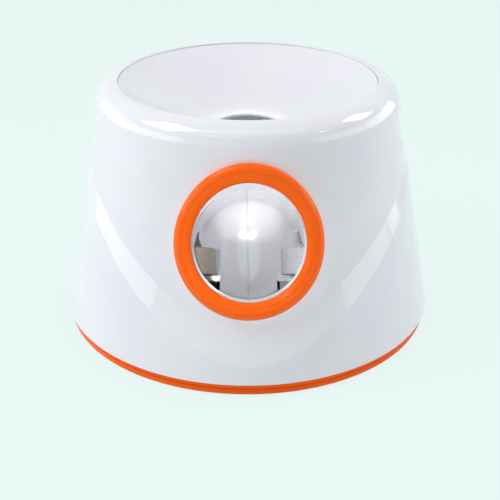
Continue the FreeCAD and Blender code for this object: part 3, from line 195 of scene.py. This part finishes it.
MATERIALS = {
    "white_shell": moulded(
        "gloss_white", linear(237, 238, 243), linear(233, 234, 240), (0.07, 0.14),
        Coat_Weight=0.6, Coat_Roughness=0.03),
    "chute_plastic": moulded(
        "chute_white", linear(232, 233, 237), linear(228, 229, 233), (0.06, 0.12), wave=20e-6,
        Coat_Weight=0.8, Coat_Roughness=0.02),
    "orange_trim": moulded(
        "gloss_orange", linear(255, 102, 0), linear(252, 97, 0), (0.03, 0.07),
        Specular_IOR_Level=0.16),
    "grey_plastic": textured(
        "grey_plastic", linear(212, 214, 218), linear(203, 205, 209), (0.4, 0.55), depth=6e-6),
    "black_rubber": textured(
        "black_rubber", linear(42, 42, 43), linear(32, 32, 33), (0.6, 0.85), depth=12e-6,
        scale=800.0),
    "screw_steel": turned_metal(
        "screw_steel", linear(196, 197, 200), linear(160, 161, 165), (0.22, 0.4),
        stretch=(1500.0, 1500.0, 200.0)),
    "wheel_plastic": textured(
        "wheel_plastic", linear(222, 221, 216), linear(208, 207, 203), (0.35, 0.5), depth=5e-6,
        scale=900.0),
    "tyre_rubber": tyre(
        "tyre_rubber", linear(178, 170, 154), linear(168, 160, 145), (0.3, 0.45)),
    "motor_steel": turned_metal(
        "motor_steel", linear(206, 207, 210), linear(178, 179, 184), (0.2, 0.36),
        stretch=(900.0, 60.0, 900.0), turn=(MOTOR_LEAN, 0.0, 0.0)),
    "motor_cap_plastic": textured(
        "motor_cap", linear(36, 36, 39), linear(28, 28, 30), (0.4, 0.6), depth=5e-6),
    "sensor_plastic": textured(
        "sensor_plastic", linear(200, 201, 204), linear(184, 186, 190), (0.3, 0.45), depth=4e-6),
    "cell_wrap": cell_wrap(),
    "contact_metal": turned_metal(
        "contact_metal", linear(222, 222, 216), linear(196, 195, 188), (0.15, 0.32),
        stretch=(400.0, 400.0, 400.0)),
    "circuit_board": circuit_board(),
    "orange_button": moulded(
        "button_orange", linear(250, 102, 4), linear(245, 94, 0), (0.2, 0.3),
        Coat_Weight=0.5, Coat_Roughness=0.08),
    "lamp_lens": moulded(
        "lamp_lens", linear(222, 232, 226), linear(210, 222, 215), (0.1, 0.18),
        Transmission_Weight=0.35),
}
# Painted light: a paler, greyer copy of the tyre rubber for the right wheel, standing for that wheel
# being lit while the left one is in shade.
PAINTED_LIT_TYRE = tyre("tyre_rubber_painted_lit", linear(226, 228, 234), linear(216, 218, 224), (0.22, 0.35))

for part in SUBPARTS:
    node = NODES[part["node"]]
    # the right tyre takes the paler copy, painted light in place of the light it gets
    lit_copy = part["node"] == "flywheel_tyre_right"
    node.data.materials.clear()
    node.data.materials.append(PAINTED_LIT_TYRE if lit_copy else MATERIALS[part["material_slot"]])

# ------------------------------------------------------------------ printed signs on the control panel
# Sizes in mm. A sign is drawn round its centre as seen from behind: u to the right, v up.

PRINT_RISE = 0.08           # above the surface that carries it
PRINT_ROOT = 0.1            # and below it
PRINT_STEP = 0.4
BEHIND = 200.0 * MM         # in metres: clear of the launcher, from where its rear face is sought


def divided(points):
    """The line through these points, in steps short enough to follow a curved face."""
    line = [points[0]]
    for (au, av), (bu, bv) in zip(points, points[1:]):
        count = max(1, math.ceil(math.hypot(bu - au, bv - av) / PRINT_STEP))
        for i in range(1, count + 1):
            line.append((au + (bu - au) * i / count, av + (bv - av) * i / count))
    return line


def printed(name, node_name, centre, strokes, width, body, slot_name):
    """Strokes laid as thin closed strips on the rear face of a node, round a centre (x, z)."""
    node = NODES[node_name]
    inverse = node.matrix_world.inverted()
    aim = inverse.to_3x3() @ Vector((0, -1, 0))
    verts, faces = [], []

    def on_face(u, v):
        start = inverse @ Vector(((centre[0] - u) * MM, BEHIND, (centre[1] + v) * MM))
        hit, place, normal, _ = node.ray_cast(start, aim)
        assert hit, (name, u, v)
        normal = (node.matrix_world.to_3x3() @ normal).normalized()
        return node.matrix_world @ place, normal

    for stroke in strokes:
        line = divided(stroke)
        base = len(verts)
        for i, (u, v) in enumerate(line):
            before, after = line[max(i - 1, 0)], line[min(i + 1, len(line) - 1)]
            du, dv = after[0] - before[0], after[1] - before[1]
            length = math.hypot(du, dv)
            side = (-dv / length * width / 2, du / length * width / 2)
            for way in (1, -1):
                place, normal = on_face(u + way * side[0], v + way * side[1])
                verts += [place + normal * PRINT_RISE * MM, place - normal * PRINT_ROOT * MM]
        for i in range(len(line) - 1):
            a, b = base + 4 * i, base + 4 * (i + 1)
            faces += [(a, a + 2, b + 2, b), (a + 1, b + 1, b + 3, a + 3),
                      (a, b, b + 1, a + 1), (a + 2, a + 3, b + 3, b + 2)]
        last = base + 4 * (len(line) - 1)
        faces += [(base, base + 1, base + 3, base + 2), (last, last + 2, last + 3, last + 1)]
    mesh = bpy.data.meshes.new(name)
    mesh.from_pydata(verts, [], faces)
    mesh.validate()
    mesh.materials.append(MATERIALS[slot_name])
    sign = bpy.data.objects.new(name, mesh)
    bpy.context.scene.collection.objects.link(sign)
    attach(sign, body)


def arc(radius, start, end, count=24):
    turns = [math.radians(start + (end - start) * i / count) for i in range(count + 1)]
    return [(radius * math.cos(t), radius * math.sin(t)) for t in turns]


BUTTON_HEIGHT = 78.3
POWER_BUTTON_X = -22.0
DISTANCE_BUTTON_X = 0.0
LAMP_HEIGHT = 91.5
LAMP_PITCH = 7.0
NUMBER_RISE = 4.4           # above the lamps
POWER_SIGN = [arc(2.6, 125.0, 415.0), [(0.0, 0.6), (0.0, 3.4)]]
DISTANCE_SIGN = [[(-2.2, -2.4), (-2.2, -0.6)], [(0.0, -2.4), (0.0, 0.8)], [(2.2, -2.4), (2.2, 2.4)]]
DIGITS = {
    "1": [(-0.5, 0.8), (0.1, 1.2), (0.1, -1.2)],
    "2": [(-0.7, 0.7), (-0.4, 1.1), (0.4, 1.1), (0.7, 0.6), (-0.7, -1.2), (0.8, -1.2)],
    "3": [(-0.7, 1.1), (0.6, 1.1), (0.0, 0.2), (0.6, -0.2), (0.6, -0.8), (0.1, -1.2), (-0.7, -1.0)],
}
printed("power_sign", "power_button", (POWER_BUTTON_X, BUTTON_HEIGHT), POWER_SIGN, 0.7,
        "power_button", "white_shell")
printed("distance_sign", "distance_button", (DISTANCE_BUTTON_X, BUTTON_HEIGHT), DISTANCE_SIGN, 0.9,
        "distance_button", "white_shell")
for number, (digit, stroke) in enumerate(DIGITS.items()):
    centre = (LAMP_PITCH * (1 - number), LAMP_HEIGHT + NUMBER_RISE)
    printed("lamp_number_" + digit, "control_panel", centre, [stroke], 0.4,
            "housing", "motor_cap_plastic")

# ------------------------------------------------------------------ stage

BACKGROUND = linear(234, 249, 246)
FLOOR_SIZE = 12.0
FLOOR_OWN_LIGHT = 0.92      # share of the floor that is even, where it is seen directly
AMBIENT_COLOUR = (0.90, 0.84, 0.93, 1.0)
AMBIENT_STRENGTH = 0.24


def seen_directly(tree):
    """1 for rays from the camera, and for those that gloss and clear plastic send on."""
    path = tree.nodes.new("ShaderNodeLightPath")
    total = path.outputs["Is Camera Ray"]
    for name in ("Is Glossy Ray", "Is Transmission Ray"):
        add = tree.nodes.new("ShaderNodeMath")
        add.operation = "MAXIMUM"
        tree.links.new(total, add.inputs[0])
        tree.links.new(path.outputs[name], add.inputs[1])
        total = add.outputs["Value"]
    return total


def floor_material():
    """Pale floor: partly even, so that it stays one tone to the horizon, and partly lit,
    so that it keeps shadows."""
    material = bpy.data.materials.new("floor")
    material.use_nodes = True
    tree = material.node_tree
    tree.nodes.clear()
    lit = tree.nodes.new("ShaderNodeBsdfDiffuse")
    lit.inputs["Color"].default_value = BACKGROUND
    even = tree.nodes.new("ShaderNodeEmission")
    even.inputs["Color"].default_value = BACKGROUND
    share = tree.nodes.new("ShaderNodeMath")
    share.operation = "MULTIPLY"
    share.inputs[1].default_value = FLOOR_OWN_LIGHT
    tree.links.new(seen_directly(tree), share.inputs[0])
    both = tree.nodes.new("ShaderNodeMixShader")
    tree.links.new(share.outputs["Value"], both.inputs["Fac"])
    tree.links.new(lit.outputs["BSDF"], both.inputs[1])
    tree.links.new(even.outputs["Emission"], both.inputs[2])
    output = tree.nodes.new("ShaderNodeOutputMaterial")
    tree.links.new(both.outputs["Shader"], output.inputs["Surface"])
    return material


bpy.ops.mesh.primitive_plane_add(size=FLOOR_SIZE, location=(0, 0, 0))
floor = bpy.context.object
floor.name = "floor"
floor.data.materials.append(floor_material())

world = bpy.data.worlds.new("studio")
bpy.context.scene.world = world
world.use_nodes = True
tree = world.node_tree
ambient = tree.nodes["Background"]
ambient.inputs["Color"].default_value = AMBIENT_COLOUR
ambient.inputs["Strength"].default_value = AMBIENT_STRENGTH
backdrop = tree.nodes.new("ShaderNodeBackground")
backdrop.inputs["Color"].default_value = BACKGROUND
either = tree.nodes.new("ShaderNodeMixShader")
tree.links.new(seen_directly(tree), either.inputs["Fac"])
tree.links.new(ambient.outputs["Background"], either.inputs[1])
tree.links.new(backdrop.outputs["Background"], either.inputs[2])
tree.links.new(either.outputs["Shader"], tree.nodes["World Output"].inputs["Surface"])

# ------------------------------------------------------------------ light
# Places and sizes in metres, power in watts.

MIDDLE = (0.0, 0.0, 0.1)
PANEL_RING = 1.9
PANEL_HEIGHT = 0.42
PANEL_SIZE = (1.5, 0.75)
PANELS = ((-112.5, 5.6), (-67.5, 5.6), (-22.5, 1.5), (22.5, 1.5), (67.5, 5.0), (112.5, 5.8))
SPOT_BLEND = 0.4
FEED_LAMPS_X = (-0.4, -0.2, 0.0, 0.2, 0.4)


def hung(name, data, place, target):
    lamp = bpy.data.objects.new(name, data)
    bpy.context.scene.collection.objects.link(lamp)
    lamp.location = place
    lamp.rotation_euler = (Vector(target) - Vector(place)).to_track_quat("-Z", "Y").to_euler()
    return lamp


def softbox(name, place, size, power, target=MIDDLE, colour=(1.0, 1.0, 1.0)):
    data = bpy.data.lights.new(name, "AREA")
    data.shape = "RECTANGLE"
    data.size, data.size_y = size
    data.energy = power
    data.color = colour
    return hung(name, data, place, target)


def spotlight(name, place, target, angle, power, softness):
    """A narrow lamp, for light that reaches only a hole and what lies behind it."""
    data = bpy.data.lights.new(name, "SPOT")
    data.energy = power
    data.spot_size = math.radians(angle)
    data.spot_blend = SPOT_BLEND
    data.shadow_soft_size = softness
    hung(name, data, place, target)


# a ring of upright panels, open behind: strong at the sides, weak in front
for number, (azimuth, power) in enumerate(PANELS, 1):
    turn = math.radians(azimuth)
    place = (PANEL_RING * math.sin(turn), -PANEL_RING * math.cos(turn), PANEL_HEIGHT)
    softbox("panel_%d" % number, place, PANEL_SIZE, power, target=(0.0, 0.0, PANEL_HEIGHT))
top = softbox("top", (0.0, 0.1, 1.6), (0.9, 0.9), 4.0, colour=(1.0, 0.98, 0.98))
top.visible_glossy = False  # it would show as a patch in the funnel
softbox("left_top", (-1.0, -0.2, 1.3), (0.7, 0.7), 10.0)
softbox("right_rim", (1.2, 0.4, 1.2), (0.5, 0.5), 5.0)
softbox("front", (0.0, -0.5, 1.6), (1.8, 0.35), 2.3)
softbox("glint_left", (-0.6, -0.9, 1.2), (0.35, 0.02), 0.3)
softbox("glint_middle", (-0.15, -1.0, 1.25), (0.15, 0.02), 0.2)
softbox("glint_right", (0.95, -0.6, 1.0), (0.2, 0.02), 0.3)

# overhead light reaches the bend of the ball's way through the feed hole, and front light the port
for number, x in enumerate(FEED_LAMPS_X, 1):
    spotlight("feed_hole_%d" % number, (x, -0.06, 1.5), target=(0.0, 0.0, 0.165),
              angle=2.1, power=17.0, softness=0.015)
spotlight("port", (-0.1, -1.5, 0.85), target=(0.0, -0.13, 0.113),
          angle=3.7, power=44.0, softness=0.02)

# ------------------------------------------------------------------ camera

CAMERA_PLACE = (-6.4, -748.5, 422.4)    # mm
PITCH, YAW, ROLL = (math.radians(angle) for angle in (26.76, 0.64, 0.11))

camera_data = bpy.data.cameras.new("camera")
camera = bpy.data.objects.new("camera", camera_data)
bpy.context.scene.collection.objects.link(camera)
bpy.context.scene.camera = camera
camera_data.lens = 72.0
camera_data.sensor_width = 36.0
camera.location = Vector(CAMERA_PLACE) * MM
forward = Vector((math.sin(YAW) * math.cos(PITCH), math.cos(YAW) * math.cos(PITCH), -math.sin(PITCH)))
level = Vector((math.cos(YAW), -math.sin(YAW), 0.0))
upward = level.cross(forward)
right = level * math.cos(ROLL) + upward * math.sin(ROLL)
camera.rotation_euler = Matrix((right, right.cross(forward), -forward)).transposed().to_euler()

bpy.context.scene.view_settings.view_transform = "Standard"
